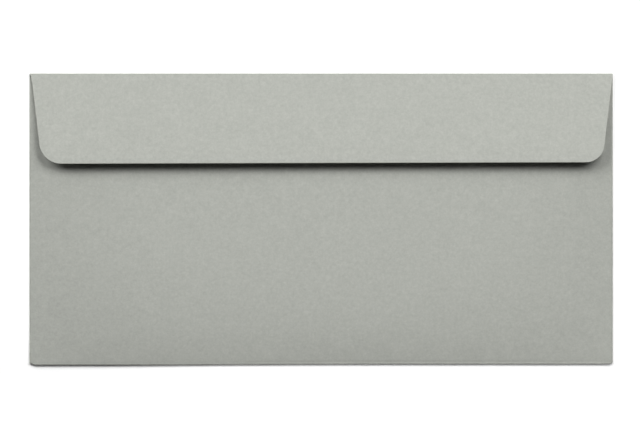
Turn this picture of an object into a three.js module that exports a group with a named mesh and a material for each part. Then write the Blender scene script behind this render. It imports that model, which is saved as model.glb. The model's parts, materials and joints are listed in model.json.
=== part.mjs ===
// A self-seal wallet envelope, lying on its front with the seal flap folded over but not stuck down.
// Millimetres. X runs along the envelope's width, Y from the bottom fold to the flap's crease and Z up.
// The origin is the middle of the face that it lies on. Every sheet is cut from one folded paper blank.
import * as THREE from "three";

// Folded envelope
const ENVELOPE_WIDTH = 220;
const ENVELOPE_HEIGHT = 110;

// Thickness of the sheets and films, and the air between them
const PAPER_THICKNESS = 0.15;
const POCKET_GAP = 0.1; // between the front panel and the side flaps
const SEAM_GLUE_THICKNESS = 0.04;
const ADHESIVE_THICKNESS = 0.05;
const LINER_THICKNESS = 0.06;
const SHUT_CLEARANCE = 0.03; // under the liner when the flap is pressed shut
const FILM_CLEARANCE = 0.01; // between neighbours that tilt with the flap

// Seal flap, with its crease
const FLAP_DEPTH = 33.5; // from the top edge of the shut envelope to the flap's free edge
const FLAP_SIDE_INSET = 0.5;
const FLAP_SIDE_SLANT = THREE.MathUtils.degToRad(6.6);
const FLAP_CORNER_RADIUS = 7.6;
const FLAP_REST_LIFT = THREE.MathUtils.degToRad(4);

// Self-seal strip on the flap's inner side
const LINER_WIDTH = 15;
const LINER_LENGTH = 194;
const LINER_EDGE_MARGIN = 4; // from the flap's free edge
const LINER_CORNER_RADIUS = 0.8;
const ADHESIVE_WIDTH = 9;
const ADHESIVE_END_MARGIN = 2; // short of each end of the liner
const ADHESIVE_LIFT_MARGIN = 2; // short of the liner's long side towards the free edge

// Back panel
const BACK_SIDE_INSET = 0.5;
const THROAT_DROP = 12; // from the top edge of the envelope down to the back panel's free edge
const THROAT_SHOULDER_RADIUS = 9;
const CORNER_NOTCH_WIDTH = 0.9; // cut away from each lower corner, beside the bottom fold
const CORNER_NOTCH_HEIGHT = 3;

// Side flaps, glued under the back panel
const SIDE_FLAP_WIDTH = 17;
const SIDE_FLAP_TAPER = 5; // slope of each end, measured along the side fold
const SIDE_FLAP_CORNER_RADIUS = 3;
const SIDE_FLAP_END_CLEARANCE = 1; // from the bottom fold and from the crease
const SEAM_GLUE_WIDTH = 8;
const SEAM_GLUE_SIDE_MARGIN = 4; // from the side fold
const SEAM_GLUE_END_MARGIN = 6; // from both ends of the side flap or the throat

// Smoothness of the curves
const CORNER_SEGMENTS = 8;
const FOLD_STEPS = 6; // in each quarter turn of a fold

// Heights in the stack of layers, from the face that the envelope lies on
const sideFlapBottom = PAPER_THICKNESS + POCKET_GAP;
const sideFlapTop = sideFlapBottom + PAPER_THICKNESS;
const backPanelBottom = sideFlapTop + SEAM_GLUE_THICKNESS;
const backPanelTop = backPanelBottom + PAPER_THICKNESS;
const stripThickness = ADHESIVE_THICKNESS + LINER_THICKNESS + 2 * FILM_CLEARANCE;
const shutFlapTop = backPanelTop + SHUT_CLEARANCE + stripThickness + PAPER_THICKNESS;

// Outer radius of each fold, half the height that it closes
const sideFoldRadius = sideFlapTop / 2;
const bottomFoldRadius = backPanelTop / 2;
const creaseRadius = shutFlapTop / 2;

// Edges that the panels share with the folds
const halfWidth = ENVELOPE_WIDTH / 2;
const halfHeight = ENVELOPE_HEIGHT / 2;
const sideFoldX = halfWidth - sideFoldRadius;
const bottomFoldY = bottomFoldRadius - halfHeight;
const creaseY = halfHeight - creaseRadius;
const throatY = halfHeight - THROAT_DROP;
const backHalfWidth = halfWidth - BACK_SIDE_INSET;
const flapHalfWidth = halfWidth - FLAP_SIDE_INSET;
const sideFlapLowY = bottomFoldY + SIDE_FLAP_END_CLEARANCE;
const sideFlapHighY = creaseY - SIDE_FLAP_END_CLEARANCE;

// Finishes
const greyPaper = new THREE.MeshStandardMaterial({ color: 0xb3b6af, roughness: 0.9, metalness: 0 });
const driedGlue = new THREE.MeshStandardMaterial({ color: 0xd9d6c8, roughness: 0.5, metalness: 0 });
const tackyFilm = new THREE.MeshStandardMaterial({ color: 0xe4e0d0, roughness: 0.25, metalness: 0 });
const siliconePaper = new THREE.MeshStandardMaterial({ color: 0xf3f1ea, roughness: 0.45, metalness: 0 });

// Basis matrices that lay an extrusion's own x, y and z along the given directions
const ALONG_X = new THREE.Matrix4().makeBasis(
  new THREE.Vector3(0, 1, 0),
  new THREE.Vector3(0, 0, 1),
  new THREE.Vector3(1, 0, 0),
);
const ALONG_Y = new THREE.Matrix4().makeBasis(
  new THREE.Vector3(-1, 0, 0),
  new THREE.Vector3(0, 0, 1),
  new THREE.Vector3(0, 1, 0),
);

// Closed convex outline through corners [x, y, radius], anticlockwise, each rounded by a tangent arc.
function roundedOutline(corners) {
  const outline = new THREE.Shape();
  const points = corners.map(([x, y]) => new THREE.Vector2(x, y));
  corners.forEach(([x, y, radius], index) => {
    if (radius > 0) {
      const before = points.at(index - 1).clone().sub(points[index]).normalize();
      const after = points[(index + 1) % points.length].clone().sub(points[index]).normalize();
      const halfAngle = before.angleTo(after) / 2;
      const reach = radius / Math.tan(halfAngle);
      const inward = before.clone().add(after).normalize();
      const centre = points[index].clone().addScaledVector(inward, radius / Math.sin(halfAngle));
      const start = points[index].clone().addScaledVector(before, reach).sub(centre);
      const end = points[index].clone().addScaledVector(after, reach).sub(centre);
      outline.absarc(centre.x, centre.y, radius, start.angle(), end.angle(), false);
    } else if (index === 0) {
      outline.moveTo(x, y);
    } else {
      outline.lineTo(x, y);
    }
  });
  return outline.closePath();
}

// A flat sheet or film with the given outline, from height bottom up.
function sheet(name, corners, bottom, thickness, material) {
  const geometry = new THREE.ExtrudeGeometry(roundedOutline(corners), {
    depth: thickness,
    curveSegments: CORNER_SEGMENTS,
    bevelEnabled: false,
  });
  const mesh = new THREE.Mesh(geometry, material);
  mesh.name = name;
  mesh.position.z = bottom;
  return mesh;
}

// Section of a paper fold about its own centre: from straight down, round the outside, through turn.
function foldSection(radius, turn) {
  const down = -Math.PI / 2;
  const angles = [];
  for (let step = 0; step < FOLD_STEPS; step++) {
    angles.push(down + (step / FOLD_STEPS) * (Math.PI / 2));
  }
  for (let step = 0; step <= FOLD_STEPS; step++) {
    angles.push((step / FOLD_STEPS) * (down + turn));
  }
  const arc = (r) => angles.map((a) => new THREE.Vector2(r * Math.cos(a), r * Math.sin(a)));
  return new THREE.Shape([...arc(radius), ...arc(radius - PAPER_THICKNESS).reverse()]);
}

// A strip of paper bent round a fold line that runs for length along the basis's third direction.
function foldStrip(name, radius, turn, length, basis) {
  const geometry = new THREE.ExtrudeGeometry(foldSection(radius, turn), {
    depth: length,
    bevelEnabled: false,
  });
  geometry.translate(0, 0, -length / 2).applyMatrix4(basis);
  const mesh = new THREE.Mesh(geometry, greyPaper);
  mesh.name = name;
  return mesh;
}

// Mirrors an outline to the envelope's other side, still anticlockwise.
function mirrored(corners) {
  return corners.map(([x, y, radius]) => [-x, y, radius]).reverse();
}

function makeFrontPanel() {
  const corners = [
    [-sideFoldX, bottomFoldY, 0],
    [sideFoldX, bottomFoldY, 0],
    [sideFoldX, creaseY, 0],
    [-sideFoldX, creaseY, 0],
  ];
  return sheet("front_panel", corners, 0, PAPER_THICKNESS, greyPaper);
}

function makeBackPanel() {
  const right = [
    [backHalfWidth - CORNER_NOTCH_WIDTH, bottomFoldY, 0],
    [backHalfWidth, bottomFoldY + CORNER_NOTCH_HEIGHT, 0],
    [backHalfWidth, throatY, THROAT_SHOULDER_RADIUS],
  ];
  const corners = [...right, ...mirrored(right)];
  return sheet("back_panel", corners, backPanelBottom, PAPER_THICKNESS, greyPaper);
}

function makeBottomFold() {
  const length = 2 * (backHalfWidth - CORNER_NOTCH_WIDTH);
  const fold = foldStrip("bottom_fold", bottomFoldRadius, Math.PI, length, ALONG_X);
  fold.rotation.z = Math.PI;
  fold.position.set(0, bottomFoldY, bottomFoldRadius);
  return fold;
}

// The flap, glue line and fold of one side, for side -1 on the left and 1 on the right.
function makeSide(label, side) {
  const group = new THREE.Group();
  const innerX = sideFoldX - SIDE_FLAP_WIDTH;
  const flapCorners = [
    [innerX, sideFlapLowY + SIDE_FLAP_TAPER, SIDE_FLAP_CORNER_RADIUS],
    [sideFoldX, sideFlapLowY, 0],
    [sideFoldX, sideFlapHighY, 0],
    [innerX, sideFlapHighY - SIDE_FLAP_TAPER, SIDE_FLAP_CORNER_RADIUS],
  ];
  const glueOuterX = sideFoldX - SEAM_GLUE_SIDE_MARGIN;
  const glueInnerX = glueOuterX - SEAM_GLUE_WIDTH;
  const glueLowY = sideFlapLowY + SEAM_GLUE_END_MARGIN;
  const glueHighY = throatY - SEAM_GLUE_END_MARGIN;
  const glueEndRadius = SEAM_GLUE_WIDTH / 2;
  const glueCorners = [
    [glueInnerX, glueLowY, glueEndRadius],
    [glueOuterX, glueLowY, glueEndRadius],
    [glueOuterX, glueHighY, glueEndRadius],
    [glueInnerX, glueHighY, glueEndRadius],
  ];
  const placed = side > 0 ? (corners) => corners : mirrored;
  const fold = foldStrip(label + "_fold", sideFoldRadius, Math.PI, sideFlapHighY - sideFlapLowY, ALONG_Y);
  fold.rotation.z = side > 0 ? Math.PI : 0;
  fold.position.set(side * sideFoldX, (sideFlapLowY + sideFlapHighY) / 2, sideFoldRadius);
  group.add(
    sheet(label + "_side_flap", placed(flapCorners), sideFlapBottom, PAPER_THICKNESS, greyPaper),
    sheet(label + "_seam_glue", placed(glueCorners), sideFlapTop, SEAM_GLUE_THICKNESS, driedGlue),
    fold,
  );
  return group;
}

// The paper bent through the crease, from the front panel's top edge round to the lifted flap.
function makeFlapCrease() {
  const turn = Math.PI - FLAP_REST_LIFT;
  const crease = foldStrip("flap_crease", creaseRadius, turn, 2 * flapHalfWidth, ALONG_X);
  crease.position.set(0, creaseY, creaseRadius);
  return crease;
}

// Flap, adhesive and liner in the flap's own frame: the origin is on the crease's axis, the flap
// runs towards -Y with its outer face at the crease radius, and the strip is below its inner face.
function makeFlap() {
  const hinge = new THREE.Group();
  hinge.position.set(0, creaseY, creaseRadius);
  hinge.rotation.x = -FLAP_REST_LIFT;
  const freeEdgeY = creaseRadius - FLAP_DEPTH;
  const startY = -FILM_CLEARANCE;
  const freeHalfWidth = flapHalfWidth - (startY - freeEdgeY) * Math.tan(FLAP_SIDE_SLANT);
  const rightFlap = [
    [freeHalfWidth, freeEdgeY, FLAP_CORNER_RADIUS],
    [flapHalfWidth, startY, 0],
  ];
  const flapBottom = creaseRadius - PAPER_THICKNESS;
  const adhesiveBottom = flapBottom - FILM_CLEARANCE - ADHESIVE_THICKNESS;
  const linerBottom = adhesiveBottom - FILM_CLEARANCE - LINER_THICKNESS;
  const linerLowY = freeEdgeY + LINER_EDGE_MARGIN;
  const rightLiner = [
    [LINER_LENGTH / 2, linerLowY, LINER_CORNER_RADIUS],
    [LINER_LENGTH / 2, linerLowY + LINER_WIDTH, LINER_CORNER_RADIUS],
  ];
  const adhesiveX = LINER_LENGTH / 2 - ADHESIVE_END_MARGIN;
  const adhesiveLowY = linerLowY + ADHESIVE_LIFT_MARGIN;
  const rightAdhesive = [
    [adhesiveX, adhesiveLowY, 0],
    [adhesiveX, adhesiveLowY + ADHESIVE_WIDTH, 0],
  ];
  const both = (right) => [...right, ...mirrored(right)];
  hinge.add(
    sheet("seal_flap", both(rightFlap), flapBottom, PAPER_THICKNESS, greyPaper),
    sheet("adhesive_strip", both(rightAdhesive), adhesiveBottom, ADHESIVE_THICKNESS, tackyFilm),
    sheet("release_liner", both(rightLiner), linerBottom, LINER_THICKNESS, siliconePaper),
  );
  return hinge;
}

const envelope = new THREE.Group();
envelope.add(
  makeFrontPanel(),
  makeBottomFold(),
  makeSide("left", -1),
  makeSide("right", 1),
  makeBackPanel(),
  makeFlapCrease(),
  makeFlap(),
);

export default envelope;
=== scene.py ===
import json
import math

import bpy
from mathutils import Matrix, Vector


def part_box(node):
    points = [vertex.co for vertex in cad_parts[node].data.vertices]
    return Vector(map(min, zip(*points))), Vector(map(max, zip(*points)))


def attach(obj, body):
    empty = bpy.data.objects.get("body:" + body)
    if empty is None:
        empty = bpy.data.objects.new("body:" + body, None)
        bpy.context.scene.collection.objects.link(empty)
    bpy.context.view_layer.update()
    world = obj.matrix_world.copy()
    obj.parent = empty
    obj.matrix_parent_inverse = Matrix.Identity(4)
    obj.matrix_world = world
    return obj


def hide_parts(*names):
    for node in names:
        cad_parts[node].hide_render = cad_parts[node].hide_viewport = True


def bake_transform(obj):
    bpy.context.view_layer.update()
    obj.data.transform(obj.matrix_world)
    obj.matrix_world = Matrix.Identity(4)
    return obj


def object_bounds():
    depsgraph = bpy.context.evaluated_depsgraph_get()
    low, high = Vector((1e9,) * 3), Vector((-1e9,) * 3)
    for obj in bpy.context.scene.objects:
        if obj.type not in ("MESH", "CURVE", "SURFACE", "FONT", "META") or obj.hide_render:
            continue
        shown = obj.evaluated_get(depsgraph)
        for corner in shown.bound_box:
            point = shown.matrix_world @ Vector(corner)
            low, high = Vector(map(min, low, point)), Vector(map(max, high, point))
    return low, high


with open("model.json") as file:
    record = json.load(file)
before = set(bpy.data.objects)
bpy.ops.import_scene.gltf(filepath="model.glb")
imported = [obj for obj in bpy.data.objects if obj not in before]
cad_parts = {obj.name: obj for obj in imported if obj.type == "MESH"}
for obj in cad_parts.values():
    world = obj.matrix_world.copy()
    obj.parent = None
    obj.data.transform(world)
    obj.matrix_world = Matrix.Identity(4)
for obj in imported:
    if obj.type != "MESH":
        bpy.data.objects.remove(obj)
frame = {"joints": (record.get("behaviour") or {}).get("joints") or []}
cad_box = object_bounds()

# Units and smoothness
MM = 0.001
COLUMN_STEP = 2.0 * MM
ROW_STEP = 1.5 * MM
RIM_WIDTH = 0.35 * MM
EDGE_EASE = 0.02 * MM
THIN_EDGE_SHARE = 0.8
EASED_EDGE_VALUE = 0.6
FOLD_STEPS = 10
CORNER_STEPS = 16
SHOULDER_STEPS = 14
SHARP_ANGLE = math.radians(35)

# Sizes and places read from the frame
FRONT_LOW, FRONT_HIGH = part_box("front_panel")
BACK_LOW, BACK_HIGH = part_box("back_panel")
SIDE_LOW, SIDE_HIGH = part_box("right_side_flap")
GLUE_LOW, GLUE_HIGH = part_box("right_seam_glue")
BOTTOM_LOW, BOTTOM_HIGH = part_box("bottom_fold")
CREASE_LOW, CREASE_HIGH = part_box("flap_crease")
FOLD_LOW, FOLD_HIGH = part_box("right_fold")
LINER_LOW, LINER_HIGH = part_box("release_liner")
TACK_LOW, TACK_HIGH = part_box("adhesive_strip")
PAPER = FRONT_HIGH.z - FRONT_LOW.z
HINGE = next(j for j in frame["joints"] if j["name"] == "flap_hinge")
HINGE_POINT = Vector(HINGE["pos_m"])
FLAP_LIFT = math.radians(-HINGE["range_deg"][0])
CREASE_RADIUS = CREASE_HIGH.y - HINGE_POINT.y

# Seal flap, in its own frame: depth is measured from the hinge line, and the skew runs up to the right
FLAP_START = 0.01 * MM
FLAP_LENGTH = 33.52 * MM
FLAP_SKEW = 0.0027
FLAP_CROWN = -0.02 * MM
FLAP_DROOP = 0.055 * MM
FLAP_DROOP_POWER = 12
FLAP_WAVE = 0.006 * MM
LEFT_END = {
    "half_width": 109.25 * MM,
    "flare": 0.55 * MM,
    "slant": math.radians(7.0),
    "corner": 8.3 * MM,
}
RIGHT_END = {
    "half_width": 109.9 * MM,
    "flare": 0.0,
    "slant": math.radians(6.85),
    "corner": 7.0 * MM,
}
FLARE_REACH = 1.2 * MM

# Strip under the flap, measured from the flap's free edge and inner face
LINER_MARGIN = 4.0 * MM
LINER_WIDTH = 15.0 * MM
TACK_WIDTH = 9.0 * MM
TACK_LIFT_MARGIN = 2.0 * MM
FILM_CLEARANCE = 0.01 * MM
TACK_THICKNESS = 0.05 * MM
LINER_THICKNESS = 0.06 * MM

# Back panel: its free edge, its lower corners and the score line beside the bottom fold
SHOULDER_RADIUS = 9.0 * MM
LEFT_NOTCH = 0.9 * MM
RIGHT_NOTCH = 0.3 * MM
FOLD_END_GAP = 0.2 * MM
SCORE_DEPTH = 0.035 * MM
SCORE_PLACE = 0.65 * MM
SCORE_WIDTH = 0.28 * MM

# Rows of the back panel's mesh by the score line, in mm from the panel's lower edge
SCORE_ROWS_MM = (0.0, 0.15, 0.3, 0.42, 0.54, 0.65, 0.76, 0.88, 1.0, 1.2)

# Back panel: how it stands up between the folds, with a swell just below the flap's free edge
BULGE_TOP_Y = 24.5 * MM
BULGE_LENGTH = BULGE_TOP_Y - BOTTOM_HIGH.y
BULGE_TOP_SLOPE = math.radians(1.2)
BULGE_POWER = 5
BULGE_SIDE_POWER = 4
SWELL_TOP_Y = 21.5 * MM
SWELL_SLOPE = math.radians(1.3)
SWELL_REACH = 6.0 * MM
PANEL_WAVE = 0.05 * MM

# Ripples: how far one runs for each radian, and where it starts
PANEL_RIPPLE_ACROSS = (17.0 * MM, 0.7)
PANEL_RIPPLE_DOWN = (13.0 * MM, 0.0)
PANEL_RIPPLE_LONG = (41.0 * MM, -1.1)
FLAP_RIPPLE_SHORT = (19.0 * MM, 0.0)
FLAP_RIPPLE_LONG = (47.0 * MM, 2.0)
GLUE_RIPPLE = (2.3 * MM, 0.0)

# Back panel: painted shade, a trace over all of it, more towards its sides and most by its lower left
# corner
PANEL_SHADE_START = 55.0 * MM
PANEL_SHADE_MIDDLE = 0.42
PANEL_SHADE_BY_CORNER = 0.75
PANEL_SHADE_DARKNESS = -0.055

# How the envelope lies: from a start, over a reach, its lower left corner rises off the table
CORNER_LIFT = 0.1 * MM
CORNER_START = (-35.0 * MM, 8.0 * MM)
CORNER_REACH = (60.0 * MM, 45.0 * MM)

# The bottom fold isn't quite level: it runs up to the right
BOTTOM_RISE = 0.3 * MM
RISE_START = -85.0 * MM
RISE_REACH = 110.0 * MM

# Side flaps and seam glue
SIDE_TAPER = 5.0 * MM
SIDE_CORNER = 3.0 * MM
SIDE_TAPER_POWER = 0.7
SIDE_END_WIDTH = 3 * RIM_WIDTH
GLUE_WOBBLE = 0.35 * MM
GLUE_BLUNT_END = 0.4 * MM

# Folds: 2 is a round bend, and more is a flatter bend with tighter corners
CREASE_HALF_WIDTH = 109.97 * MM
CREASE_SQUARENESS = 6.0
BOTTOM_SQUARENESS = 2.3
SIDE_SQUARENESS = 2.5

# Noise in the paper and the films: features per metre, finer layers, and how they are drawn out
CLOUD = {"scale": 160, "detail": 3}
GRAIN = {"scale": 620, "detail": 2}
SPECK = {"scale": 1500, "detail": 2}
FIBRE_ACROSS = {"scale": 3200, "detail": 2, "stretch": (0.22, 1.0, 1.0)}
FIBRE_DOWN = {"scale": 3200, "detail": 2, "stretch": (1.0, 0.25, 1.0)}
STREAK = {"scale": 300, "detail": 3, "stretch": (0.2, 1.0, 1.0)}
BUBBLE = {"scale": 1400, "detail": 1}

# Finish of the paper and the films
PAPER_SPECULAR = 0.2
FIBRE_RELIEF_SHARE = 0.6
GRAIN_RELIEF_SHARE = 0.4
STREAK_SWING = 0.12
BUBBLE_SWING = 0.6
FILM_RELIEF = 0.3
RELIEF_DEPTH = 0.02 * MM

# Studio floor: a round sheet that sweeps up at its rim
WHITE = (1.0, 1.0, 1.0, 1.0)
FLOOR_RADIUS = 5.0
FLOOR_SWEEP = 0.8
FLOOR_DROP = -0.02 * MM
FLOOR_RIM_HEIGHT = 1.5 * FLOOR_SWEEP
FLOOR_SIDES = 96
FLOOR_ROUGHNESS = 0.9
SWEEP_STEPS = 8

# Glow of the floor, which grows outwards, with a painted shadow where it is less beside the envelope's
# lower left corner
FLOOR_GLOW_NEAR = 0.18
FLOOR_GLOW_FAR = 0.3
FLOOR_GLOW_REACH = (0.3, 3.0)
CORNER_SHADE = 0.18
CORNER_SHADE_REACH = (0.02, 0.08)
CORNER_SHADE_STRETCH = (1.0, 6.0, 1.0)

# Lights, in degrees, metres and watts: azimuth 0 is beyond the flap's crease and 90 is to the right
LEFT_SOFT_BOX = {
    "azimuth": -46.0,
    "elevation": 22.2,
    "distance": 2.4,
    "width": 1.70,
    "height": 0.85,
    "power": 70.0,
}
RIGHT_SOFT_BOX = {
    "azimuth": 36.0,
    "elevation": 33.2,
    "distance": 1.8,
    "width": 1.85,
    "height": 0.75,
    "power": 39.2,
}
ROOM_FILL = 0.015

# Camera: straight above, with the envelope at its place in the 640 x 427 frame
FRAME_WIDTH_PX = 640
FRAME_CENTRE_PX = (320.0, 213.5)
ENVELOPE_WIDTH_PX = 583.25
ENVELOPE_CENTRE_PX = (321.1, 219.1)
CAMERA_HEIGHT = 1.5
SENSOR_WIDTH = 36.0
VIEW_REACH = 20.0


def mixed(a, b, t):
    """The value at the share t of the way from a to b."""
    return a + (b - a) * t


def smooth(t):
    """An even rise from 0 at t = 0 to 1 at t = 1, level at both ends."""
    t = min(1.0, max(0.0, t))
    return t * t * (3 - 2 * t)


def ripple(place, wave):
    """The height of a ripple at a place, from -1 to 1."""
    reach, start = wave
    return math.sin(place / reach + start)


def quarter_turn(steps):
    """Even shares of a round corner's height, from 0 to 1."""
    return [math.sin(math.pi / 2 * i / steps) for i in range(steps + 1)]


def middle_height(low, high):
    """The height of a flat piece's middle surface, from its box."""
    return (low.z + high.z) / 2


def spread(start, end, step):
    """Places from start up to end about one step apart, with one more close to each end."""
    count = max(2, round((end - start) / step))
    inner = [mixed(start, end, i / count) for i in range(1, count)]
    return [start, start + RIM_WIDTH, *inner, end - RIM_WIDTH, end]


def add_values(mesh, name, values):
    """Gives each vertex a number that a material reads by name."""
    mesh.attributes.new(name, "FLOAT", "POINT").data.foreach_set("value", values)


def finish_mesh(name, vertices, faces, edge_values, material):
    """A smooth-shaded object with the cut_edge values that the paper's finish reads."""
    mesh = bpy.data.meshes.new(name)
    mesh.from_pydata([tuple(v) for v in vertices], [], faces)
    mesh.validate()
    add_values(mesh, "cut_edge", edge_values)
    mesh.shade_smooth()
    mesh.set_sharp_from_angle(angle=SHARP_ANGLE)
    mesh.materials.append(material)
    obj = bpy.data.objects.new(name, mesh)
    bpy.context.scene.collection.objects.link(obj)
    return obj


def rim_loop(last_row, last_column):
    """The grid places round the rim of a sheet, anticlockwise."""
    loop = [(0, j) for j in range(last_column)]
    loop += [(i, last_column) for i in range(last_row)]
    loop += [(last_row, j) for j in range(last_column, 0, -1)]
    loop += [(i, 0) for i in range(last_row, 0, -1)]
    return loop


def outward_normals(outline):
    """Outward directions along a closed anticlockwise outline of flat points."""
    normals = []
    for i in range(len(outline)):
        along = Vector(outline[(i + 1) % len(outline)]) - Vector(outline[i - 1])
        normal = Vector((along.y, -along.x))
        normals.append(normal.normalized() if normal.length > 0 else Vector((0, 0)))
    return normals


def eased_rim(loop, outline):
    """The rim's places by their grid place, moved in by the ease of a cut edge."""
    return {
        key: (x - EDGE_EASE * normal.x, y - EDGE_EASE * normal.y)
        for key, (x, y), normal in zip(loop, outline, outward_normals(outline))
    }


def sheet_faces(index, loop, last_row, last_column):
    """Both sides of a sheet and the three bands of its rim; index gives the number of each vertex."""
    faces = []
    for i in range(last_row):
        for j in range(last_column):
            cell = ((i, j), (i, j + 1), (i + 1, j + 1), (i + 1, j))
            faces.append([index["top", a, b] for a, b in cell])
            faces.append([index["under", a, b] for a, b in reversed(cell)])
    rings = ("under", "lower", "upper", "top")
    for n, (i, j) in enumerate(loop):
        k, m = loop[(n + 1) % len(loop)]
        for low, high in zip(rings, rings[1:]):
            faces.append([index[low, i, j], index[low, k, m], index[high, k, m], index[high, i, j]])
    return faces


def sheet(name, rows, place, thickness, material, column_step=COLUMN_STEP):
    """A closed sheet with eased cut edges.

    rows are (y, left x, right x) from the lowest y up, and place(x, y, rise) puts a flat point at a
    rise above the sheet's middle surface. The cut_edge value is 1 on the edge and less beside it.
    """
    widest = max(right - left for _, left, right in rows)
    shares = [x / widest for x in spread(0.0, widest, column_step)]
    grid = [[(mixed(left, right, u), y) for u in shares] for y, left, right in rows]
    last_row, last_column = len(grid) - 1, len(shares) - 1
    loop = rim_loop(last_row, last_column)
    outline = [grid[i][j] for i, j in loop]
    eased = eased_rim(loop, outline)
    half = thickness / 2
    ease = min(EDGE_EASE, half * THIN_EDGE_SHARE)
    vertices, edge_values = [], []
    index = {}

    def add(key, x, y, rise, edge):
        index[key] = len(vertices)
        vertices.append(place(x, y, rise))
        edge_values.append(edge)

    for side, rise in (("top", half), ("under", -half)):
        for i in range(last_row + 1):
            for j in range(last_column + 1):
                x, y = eased.get((i, j), grid[i][j])
                add((side, i, j), x, y, rise, EASED_EDGE_VALUE if (i, j) in eased else 0.0)
    for side, rise in (("upper", half - ease), ("lower", ease - half)):
        for (i, j), (x, y) in zip(loop, outline):
            add((side, i, j), x, y, rise, 1.0)
    faces = sheet_faces(index, loop, last_row, last_column)
    return finish_mesh(name, vertices, faces, edge_values, material)


def bent_arc(radius, squareness, turn):
    """One face of a bend, as (out, up) points from straight down; both ends stay at the radius."""
    points = []
    last = 2 * FOLD_STEPS
    for i in range(last + 1):
        angle = -math.pi / 2 + turn * i / last
        c, s = math.cos(angle), math.sin(angle)
        bend = (abs(c) ** squareness + abs(s) ** squareness) ** (1 / squareness)
        reach = radius if i in (0, last) else radius / bend
        points.append((reach * c, reach * s))
    return points


def fold(name, radius, squareness, turn, ends, place, material):
    """A strip of bent paper between its two ends, with its section going round the outside.

    place(out, up, along) puts a point of the section, measured from the fold's own centre.
    """
    section = bent_arc(radius, squareness, turn) + bent_arc(radius - PAPER, squareness, turn)[::-1]
    stations = spread(*ends, COLUMN_STEP * 2)
    vertices = [place(out, up, along) for along in stations for out, up in section]
    count = len(section)
    faces = []
    for n in range(len(stations) - 1):
        for i in range(count):
            j = (i + 1) % count
            first, second = n * count, (n + 1) * count
            faces.append([first + i, first + j, second + j, second + i])
    last = (len(stations) - 1) * count
    for i in range(count // 2 - 1):
        mate, inner = count - 1 - i, count - 2 - i
        faces.append([mate, inner, i + 1, i])
        faces.append([last + i, last + i + 1, last + inner, last + mate])
    obj = finish_mesh(name, vertices, faces, [0.0] * len(vertices), material)
    face_outwards(obj)
    return obj


def face_outwards(obj):
    """Turns every face round if the closed mesh is inside out."""
    mesh = obj.data
    volume = 0.0
    for polygon in mesh.polygons:
        points = [mesh.vertices[v].co for v in polygon.vertices]
        for a, b in zip(points[1:], points[2:]):
            volume += points[0].dot(a.cross(b))
    if volume < 0:
        mesh.flip_normals()


def run_up(x):
    """How far along the bottom fold has run up, from 0 at the left to 1 at the right."""
    return smooth((x - RISE_START) / RISE_REACH)


def corner_share(x, y):
    """How near a place is to the lower left corner: 1 by the corner, and 0 in the middle."""
    left = smooth((CORNER_START[0] - x) / CORNER_REACH[0])
    down = smooth((CORNER_START[1] - y) / CORNER_REACH[1])
    return left * down


def settle(x, y):
    """The small shift of a place of the envelope as it lies on the table."""
    down = max(0.0, y / BOTTOM_LOW.y)
    return Vector((0, BOTTOM_RISE * down * run_up(x), CORNER_LIFT * corner_share(x, y)))


def score(x, y):
    """The shallow groove beside the bottom fold, which grows to the right."""
    off = (y - BACK_LOW.y - SCORE_PLACE) / SCORE_WIDTH
    return -SCORE_DEPTH * run_up(x) * math.exp(-off**2)


def swell(x, y, down):
    """The back panel's swell just below the flap's free edge, fading towards the folds."""
    below_lip = max(0.0, SWELL_TOP_Y - y)
    height = SWELL_SLOPE * SWELL_REACH * (1 - math.exp(-below_lip / SWELL_REACH))
    fade = max(0.0, 1 - (x / SIDE_HIGH.x) ** 2) * (1 - down**BULGE_POWER)
    return height * fade


def crown(x, y, down):
    """The back panel's rise between its folds, with ripples in it."""
    across = max(0.0, 1.0 - abs(x / SIDE_HIGH.x) ** BULGE_SIDE_POWER)
    height = BULGE_LENGTH * BULGE_TOP_SLOPE * (down - down ** (BULGE_POWER + 1))
    wave = ripple(x, PANEL_RIPPLE_ACROSS) * ripple(y, PANEL_RIPPLE_DOWN) + ripple(x, PANEL_RIPPLE_LONG)
    height += PANEL_WAVE * wave * 2 * down * (1 - down)
    return across * height


def bulge(x, y):
    """How far the back panel stands above its flat place, which is nothing at the folds."""
    down = min(1.0, max(0.0, (BULGE_TOP_Y - y) / BULGE_LENGTH))
    return score(x, y) + swell(x, y, down) + crown(x, y, down)


def panel_place(middle):
    """Puts a flat point on the bulging back of the envelope."""
    return lambda x, y, rise: settle(x, y) + Vector((x, y, middle + bulge(x, y) + rise))


def flat_place(middle):
    """Puts a flat point on the flat front of the envelope."""
    return lambda x, y, rise: settle(x, y) + Vector((x, y, middle + rise))


def flap_place(middle):
    """Puts a point of the flap's own frame where the flap rests.

    middle is how high the sheet's middle surface stands over the hinge line.
    """
    c, s = math.cos(FLAP_LIFT), math.sin(FLAP_LIFT)

    def place(x, y, rise):
        share = -y / FLAP_LENGTH
        across = y + FLAP_SKEW * share * x
        crown = FLAP_CROWN * math.sin(math.pi * share)
        wave = FLAP_WAVE * share * (1 + ripple(x, FLAP_RIPPLE_SHORT) * ripple(x, FLAP_RIPPLE_LONG))
        up = middle + rise + crown - wave - FLAP_DROOP * share**FLAP_DROOP_POWER
        return HINGE_POINT + Vector((x, across * c + up * s, up * c - across * s))

    return place


def flap_reach(depth, end):
    """How far the flap reaches from its middle at a depth, with that end's flare, slant and corner."""
    radius = end["corner"]
    slant = end["slant"]
    centre_depth = FLAP_LENGTH - radius
    centre_x = end["half_width"] - centre_depth * math.tan(slant) - radius / math.cos(slant)
    if depth <= centre_depth + radius * math.sin(slant):
        flare = end["flare"] * math.exp(-depth / FLARE_REACH)
        return end["half_width"] - depth * math.tan(slant) + flare
    return centre_x + math.sqrt(max(0.0, radius**2 - (depth - centre_depth) ** 2))


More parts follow.
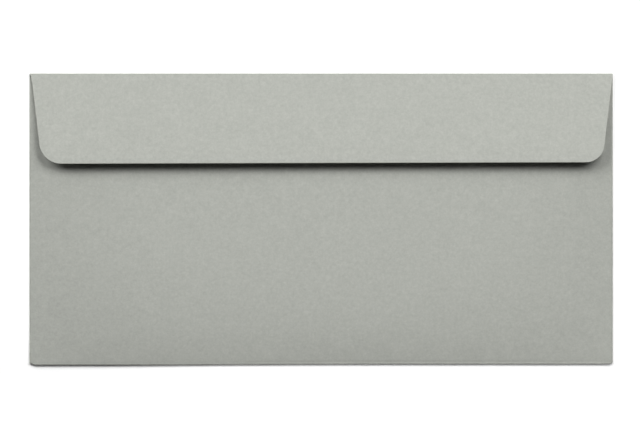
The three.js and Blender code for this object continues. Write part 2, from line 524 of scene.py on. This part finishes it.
def make_flap(material):
    corner = max(LEFT_END["corner"], RIGHT_END["corner"])
    corner_top = FLAP_LENGTH - corner
    depths = spread(FLAP_START, corner_top, ROW_STEP)[:-1]
    depths += [corner_top + corner * share for share in quarter_turn(CORNER_STEPS)]
    rows = [(-d, -flap_reach(d, LEFT_END), flap_reach(d, RIGHT_END)) for d in depths]
    place = flap_place(CREASE_RADIUS - PAPER / 2)
    return sheet("flap_sheet", rows[::-1], place, PAPER, material)


def make_tack(material):
    low = LINER_MARGIN - FLAP_LENGTH + TACK_LIFT_MARGIN
    rows = [(y, TACK_LOW.x, TACK_HIGH.x) for y in spread(low, low + TACK_WIDTH, ROW_STEP)]
    top = CREASE_RADIUS - PAPER - FILM_CLEARANCE
    place = flap_place(top - TACK_THICKNESS / 2)
    return sheet("adhesive_film", rows, place, TACK_THICKNESS, material)


def make_liner(material):
    low = LINER_MARGIN - FLAP_LENGTH
    rows = [(y, LINER_LOW.x, LINER_HIGH.x) for y in spread(low, low + LINER_WIDTH, ROW_STEP)]
    top = CREASE_RADIUS - PAPER - FILM_CLEARANCE - TACK_THICKNESS - FILM_CLEARANCE
    place = flap_place(top - LINER_THICKNESS / 2)
    return sheet("liner_strip", rows, place, LINER_THICKNESS, material)


def painted_panel_shade(x, y):
    """Painted shade: the back panel a trace darker over all, darker towards its sides, and most by its
    lower left corner.
    """
    share = (abs(x) - PANEL_SHADE_START) / (BACK_HIGH.x - PANEL_SHADE_START)
    return mixed(PANEL_SHADE_MIDDLE, 1.0, smooth(share)) + PANEL_SHADE_BY_CORNER * corner_share(x, y)


def back_half_width(y, notch):
    """Half the back panel's width: a notch at its lower corner and a round shoulder at its free edge."""
    rise = y - (BACK_HIGH.y - SHOULDER_RADIUS)
    if rise > 0:
        rise = min(SHOULDER_RADIUS, rise)
        return BACK_HIGH.x - SHOULDER_RADIUS + math.sqrt(SHOULDER_RADIUS**2 - rise**2)
    return BACK_HIGH.x - max(0.0, notch - (y - BACK_LOW.y))


def make_back_panel(material):
    straight_top = BACK_HIGH.y - SHOULDER_RADIUS
    ys = [BACK_LOW.y + row * MM for row in SCORE_ROWS_MM]
    ys += spread(BACK_LOW.y + ROW_STEP, straight_top, ROW_STEP)[:-1]
    ys += [straight_top + SHOULDER_RADIUS * share for share in quarter_turn(SHOULDER_STEPS)]
    rows = [(y, -back_half_width(y, LEFT_NOTCH), back_half_width(y, RIGHT_NOTCH)) for y in ys]
    place = panel_place(middle_height(BACK_LOW, BACK_HIGH))
    panel = sheet("back_sheet", rows, place, PAPER, material)
    # Painted shade, kept as values on the back panel's vertices
    panel_shades = [painted_panel_shade(vertex.co.x, vertex.co.y) for vertex in panel.data.vertices]
    add_values(panel.data, "painted_panel_shade", panel_shades)
    return panel


def make_front_panel(material):
    ys = spread(FRONT_LOW.y, FRONT_HIGH.y, ROW_STEP * 2)
    rows = [(y, FRONT_LOW.x, FRONT_HIGH.x) for y in ys]
    place = flat_place(middle_height(FRONT_LOW, FRONT_HIGH))
    return sheet("front_sheet", rows, place, PAPER, material, COLUMN_STEP * 2)


def make_side_flap(label, side, material):
    low, high = FRONT_LOW.y + FOLD_END_GAP, SIDE_HIGH.y
    outer, inner = SIDE_HIGH.x, SIDE_LOW.x

    def inner_x(y):
        share = min(1.0, min(y - low, high - y) / (SIDE_TAPER + SIDE_CORNER))
        return mixed(outer - SIDE_END_WIDTH, inner, math.sin(math.pi / 2 * share) ** SIDE_TAPER_POWER)

    rows = [(y, *sorted((side * inner_x(y), side * outer))) for y in spread(low, high, ROW_STEP)]
    place = panel_place(middle_height(SIDE_LOW, SIDE_HIGH))
    return sheet(label + "_inner_flap", rows, place, PAPER, material)


def make_glue(label, side, material):
    low, high = GLUE_LOW.y, GLUE_HIGH.y
    half = (GLUE_HIGH.x - GLUE_LOW.x) / 2
    centre = side * (GLUE_HIGH.x + GLUE_LOW.x) / 2
    rows = []
    for y in spread(low, high, ROW_STEP):
        end = min(1.0, (min(y - low, high - y) + GLUE_BLUNT_END) / half)
        width = half * math.sqrt(1 - (1 - end) ** 2) - GLUE_WOBBLE * (1 + ripple(y, GLUE_RIPPLE)) / 2
        rows.append((y, centre - width, centre + width))
    place = panel_place(middle_height(GLUE_LOW, GLUE_HIGH))
    return sheet(label + "_glue_line", rows, place, GLUE_HIGH.z - GLUE_LOW.z, material)


def make_bottom_fold(material):
    radius = (BOTTOM_HIGH.z - BOTTOM_LOW.z) / 2

    def place(out, up, along):
        return settle(along, BOTTOM_HIGH.y) + Vector((along, BOTTOM_HIGH.y - out, radius + up))

    ends = (LEFT_NOTCH - BACK_HIGH.x, BACK_HIGH.x - RIGHT_NOTCH)
    return fold("bottom_bend", radius, BOTTOM_SQUARENESS, math.pi, ends, place, material)


def make_side_fold(label, side, material):
    radius = (FOLD_HIGH.z - FOLD_LOW.z) / 2

    def place(out, up, along):
        shift = settle(side * FOLD_LOW.x, along)
        return shift + Vector((side * (FOLD_LOW.x + out), along, radius + up))

    ends = (FRONT_LOW.y + FOLD_END_GAP, FRONT_HIGH.y)
    return fold(label + "_bend", radius, SIDE_SQUARENESS, math.pi, ends, place, material)


def make_crease(material):
    def place(out, up, along):
        return Vector((along, HINGE_POINT.y + out, HINGE_POINT.z + up))

    turn = math.pi - FLAP_LIFT
    ends = (-CREASE_HALF_WIDTH, CREASE_HALF_WIDTH)
    return fold("crease_bend", CREASE_RADIUS, CREASE_SQUARENESS, turn, ends, place, material)


def new_material(name):
    """A material, its node tree, its shader and the object coordinates that its noise follows."""
    material = bpy.data.materials.new(name)
    material.use_nodes = True
    tree = material.node_tree
    where = tree.nodes.new("ShaderNodeTexCoord").outputs["Object"]
    return material, tree, tree.nodes["Principled BSDF"], where


def noise(tree, where, scale, detail, stretch=(1.0, 1.0, 1.0)):
    """A noise with scale features to the metre; a stretch below 1 draws them out along that axis."""
    mapping = tree.nodes.new("ShaderNodeMapping")
    mapping.inputs["Scale"].default_value = stretch
    tree.links.new(where, mapping.inputs["Vector"])
    texture = tree.nodes.new("ShaderNodeTexNoise")
    texture.inputs["Scale"].default_value = scale
    texture.inputs["Detail"].default_value = detail
    tree.links.new(mapping.outputs["Vector"], texture.inputs["Vector"])
    return texture.outputs["Fac"]


def math_node(tree, operation, a, b):
    """The result of a math node, where a and b are numbers or sockets."""
    node = tree.nodes.new("ShaderNodeMath")
    node.operation = operation
    for socket, value in zip(node.inputs, (a, b)):
        if isinstance(value, (int, float)):
            socket.default_value = value
        else:
            tree.links.new(value, socket)
    return node.outputs[0]


def weighted(tree, a, a_share, b, b_share):
    """A sum of two values, each with its own share."""
    first = math_node(tree, "MULTIPLY", a, a_share)
    second = math_node(tree, "MULTIPLY", b, b_share)
    return math_node(tree, "ADD", first, second)


def one_plus(tree, value, amount):
    """A factor that is 1 where the value is 0, and changes by the amount where it is 1."""
    return math_node(tree, "ADD", math_node(tree, "MULTIPLY", value, amount), 1.0)


def swing(tree, value, amount):
    """A noise value turned into a factor about 1 that swings by the amount."""
    return one_plus(tree, math_node(tree, "SUBTRACT", value, 0.5), amount)


def attribute_factor(tree, name, amount):
    """A factor that follows a mesh's named values."""
    values = tree.nodes.new("ShaderNodeAttribute")
    values.attribute_name = name
    return one_plus(tree, values.outputs["Fac"], amount)


def tint(tree, shader, colour, tone):
    """The shader's colour, made lighter or darker by the tone."""
    scaled = tree.nodes.new("ShaderNodeVectorMath")
    scaled.operation = "SCALE"
    scaled.inputs[0].default_value = colour
    tree.links.new(tone, scaled.inputs["Scale"])
    tree.links.new(scaled.outputs[0], shader.inputs["Base Color"])


def emboss(tree, shader, height, strength):
    """Fine relief from a height."""
    bumps = tree.nodes.new("ShaderNodeBump")
    bumps.inputs["Strength"].default_value = strength
    bumps.inputs["Distance"].default_value = RELIEF_DEPTH
    tree.links.new(height, bumps.inputs["Height"])
    tree.links.new(bumps.outputs["Normal"], shader.inputs["Normal"])


def paper_material(name, colour, mottle, roughness, relief, cut_lightness):
    """Uncoated paper: cloudy mottle, fine grain, specks, crossed fibres and a paler cut edge.

    mottle says how far the tone swings with the clouds, the grain, the specks and the fibres.
    """
    material, tree, shader, where = new_material(name)
    cloud = noise(tree, where, **CLOUD)
    grain = noise(tree, where, **GRAIN)
    speck = noise(tree, where, **SPECK)
    fibres_across = noise(tree, where, **FIBRE_ACROSS)
    fibres_down = noise(tree, where, **FIBRE_DOWN)
    fibres = weighted(tree, fibres_across, 0.5, fibres_down, 0.5)
    noises = (cloud, grain, speck, fibres)
    factors = [swing(tree, value, amount) for value, amount in zip(noises, mottle)]
    factors.append(attribute_factor(tree, "cut_edge", cut_lightness))
    # Painted shade on the back panel, read from its values
    factors.append(attribute_factor(tree, "painted_panel_shade", PANEL_SHADE_DARKNESS))
    tone = factors[0]
    for factor in factors[1:]:
        tone = math_node(tree, "MULTIPLY", tone, factor)
    tint(tree, shader, colour, tone)
    shader.inputs["Roughness"].default_value = roughness
    shader.inputs["Specular IOR Level"].default_value = PAPER_SPECULAR
    height = weighted(tree, fibres, FIBRE_RELIEF_SHARE, grain, GRAIN_RELIEF_SHARE)
    emboss(tree, shader, height, relief)
    return material


def film_material(name, colour, roughness):
    """A glue film: uneven gloss with small bubbles."""
    material, tree, shader, where = new_material(name)
    streak = noise(tree, where, **STREAK)
    bubble = noise(tree, where, **BUBBLE)
    tint(tree, shader, colour, swing(tree, streak, STREAK_SWING))
    uneven = math_node(tree, "MULTIPLY", swing(tree, bubble, BUBBLE_SWING), roughness)
    tree.links.new(uneven, shader.inputs["Roughness"])
    emboss(tree, shader, bubble, FILM_RELIEF)
    return material


def grey_paper():
    return paper_material(
        "grey_paper",
        colour=(0.411, 0.422, 0.387),
        mottle=(0.08, 0.22, 0.235, 0.14),
        roughness=0.92,
        relief=0.5,
        cut_lightness=0.10,
    )


def silicone_paper():
    return paper_material(
        "silicone_liner",
        colour=(0.80, 0.79, 0.74),
        mottle=(0.02, 0.02, 0.01, 0.02),
        roughness=0.42,
        relief=0.2,
        cut_lightness=0.0,
    )


def tacky_film():
    return film_material("tacky_film", colour=(0.62, 0.61, 0.55), roughness=0.28)


def dried_glue():
    return film_material("dried_glue", colour=(0.60, 0.58, 0.50), roughness=0.5)


def distance_from(tree, where, point, stretch=(1.0, 1.0, 1.0)):
    """How far a place is from the point, with the axes stretched."""
    mapping = tree.nodes.new("ShaderNodeMapping")
    mapping.inputs["Location"].default_value = [-place * scale for place, scale in zip(point, stretch)]
    mapping.inputs["Scale"].default_value = stretch
    tree.links.new(where, mapping.inputs["Vector"])
    length = tree.nodes.new("ShaderNodeVectorMath")
    length.operation = "LENGTH"
    tree.links.new(mapping.outputs["Vector"], length.inputs[0])
    return length.outputs["Value"]


def eased_range(tree, value, reach, low, high):
    """A value that eases from low to high over a reach, which is a start and an end."""
    node = tree.nodes.new("ShaderNodeMapRange")
    node.interpolation_type = "SMOOTHSTEP"
    for name, number in zip(("From Min", "From Max", "To Min", "To Max"), (*reach, low, high)):
        node.inputs[name].default_value = number
    tree.links.new(value, node.inputs["Value"])
    return node.outputs["Result"]


def studio_white():
    """The floor's matt white, with a glow that keeps it white to the edges of the picture and a painted
    shadow beside the envelope's lower left corner.
    """
    material, tree, shader, where = new_material("studio_white")
    shader.inputs["Base Color"].default_value = WHITE
    shader.inputs["Roughness"].default_value = FLOOR_ROUGHNESS
    shader.inputs["Specular IOR Level"].default_value = 0.0
    shader.inputs["Emission Color"].default_value = WHITE
    from_middle = distance_from(tree, where, (0, 0, 0))
    glow = eased_range(tree, from_middle, FLOOR_GLOW_REACH, FLOOR_GLOW_NEAR, FLOOR_GLOW_FAR)
    # Painted shadow: less glow beside the envelope's lower left corner
    corner = (-BACK_HIGH.x, BOTTOM_LOW.y, 0)
    from_corner = distance_from(tree, where, corner, CORNER_SHADE_STRETCH)
    shade = eased_range(tree, from_corner, CORNER_SHADE_REACH, CORNER_SHADE, 1.0)
    tree.links.new(math_node(tree, "MULTIPLY", glow, shade), shader.inputs["Emission Strength"])
    return material


def floor_profile():
    """(distance from the middle, height) from the flat floor's rim up its sweep."""
    profile = [(FLOOR_RADIUS - FLOOR_SWEEP, FLOOR_DROP)]
    for i in range(1, SWEEP_STEPS + 1):
        turn = math.pi / 2 * i / SWEEP_STEPS
        reach = FLOOR_RADIUS - FLOOR_SWEEP * (1 - math.sin(turn))
        profile.append((reach, FLOOR_DROP + FLOOR_SWEEP * (1 - math.cos(turn))))
    profile.append((FLOOR_RADIUS, FLOOR_DROP + FLOOR_RIM_HEIGHT))
    return profile


def make_floor():
    profile = floor_profile()
    vertices = []
    for reach, height in profile:
        for i in range(FLOOR_SIDES):
            turn = 2 * math.pi * i / FLOOR_SIDES
            vertices.append((reach * math.cos(turn), reach * math.sin(turn), height))
    faces = [tuple(range(FLOOR_SIDES))]
    for ring in range(len(profile) - 1):
        for i in range(FLOOR_SIDES):
            j = (i + 1) % FLOOR_SIDES
            first, second = ring * FLOOR_SIDES, (ring + 1) * FLOOR_SIDES
            faces.append((first + i, second + i, second + j, first + j))
    mesh = bpy.data.meshes.new("studio_floor")
    mesh.from_pydata(vertices, [], faces)
    mesh.shade_smooth()
    mesh.materials.append(studio_white())
    floor = bpy.data.objects.new("studio_floor", mesh)
    bpy.context.scene.collection.objects.link(floor)


def make_camera():
    data = bpy.data.cameras.new("camera")
    metres_per_px = 2 * max(abs(cad_box[0].x), cad_box[1].x) / ENVELOPE_WIDTH_PX
    data.sensor_width = SENSOR_WIDTH
    data.lens = SENSOR_WIDTH * CAMERA_HEIGHT / (FRAME_WIDTH_PX * metres_per_px)
    data.clip_end = VIEW_REACH
    camera = bpy.data.objects.new("camera", data)
    camera.location = (
        (FRAME_CENTRE_PX[0] - ENVELOPE_CENTRE_PX[0]) * metres_per_px,
        (ENVELOPE_CENTRE_PX[1] - FRAME_CENTRE_PX[1]) * metres_per_px,
        CAMERA_HEIGHT,
    )
    bpy.context.scene.collection.objects.link(camera)
    bpy.context.scene.camera = camera


def make_soft_box(name, azimuth, elevation, distance, width, height, power):
    """A soft box that faces the envelope."""
    data = bpy.data.lights.new(name, "AREA")
    data.shape = "RECTANGLE"
    data.size = width
    data.size_y = height
    data.energy = power
    light = bpy.data.objects.new(name, data)
    level = math.cos(math.radians(elevation))
    away = Vector((
        level * math.sin(math.radians(azimuth)),
        level * math.cos(math.radians(azimuth)),
        math.sin(math.radians(elevation)),
    ))
    light.location = away * distance
    light.rotation_euler = away.to_track_quat("Z", "Y").to_euler()
    light.visible_camera = False
    bpy.context.scene.collection.objects.link(light)


def make_room():
    """A trace of white fill from the room."""
    world = bpy.data.worlds.new("room")
    world.use_nodes = True
    background = world.node_tree.nodes["Background"]
    background.inputs["Color"].default_value = WHITE
    background.inputs["Strength"].default_value = ROOM_FILL
    bpy.context.scene.world = world


def dress(piece, body, node):
    """Puts a piece on its body, in place of the node's solid."""
    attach(piece, body)
    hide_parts(node)


def dress_crease(material):
    """The crease that joins the envelope and the flap, put in place of the node's solid and attached to
    neither body.
    """
    crease = make_crease(material)
    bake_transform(crease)
    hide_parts("flap_crease")


# Stage
make_camera()
make_floor()
make_soft_box("left_soft_box", **LEFT_SOFT_BOX)
make_soft_box("right_soft_box", **RIGHT_SOFT_BOX)
make_room()
bpy.context.scene.view_settings.view_transform = "Standard"

# Envelope
paper = grey_paper()
glue = dried_glue()
dress(make_front_panel(paper), "envelope", "front_panel")
dress(make_back_panel(paper), "envelope", "back_panel")
dress(make_bottom_fold(paper), "envelope", "bottom_fold")
for label, side in (("left", -1), ("right", 1)):
    dress(make_side_flap(label, side, paper), "envelope", label + "_side_flap")
    dress(make_side_fold(label, side, paper), "envelope", label + "_fold")
    dress(make_glue(label, side, glue), "envelope", label + "_seam_glue")

# Seal flap, with what it carries
dress(make_flap(paper), "flap", "seal_flap")
dress(make_tack(tacky_film()), "flap", "adhesive_strip")
dress(make_liner(silicone_paper()), "liner", "release_liner")
dress_crease(paper)
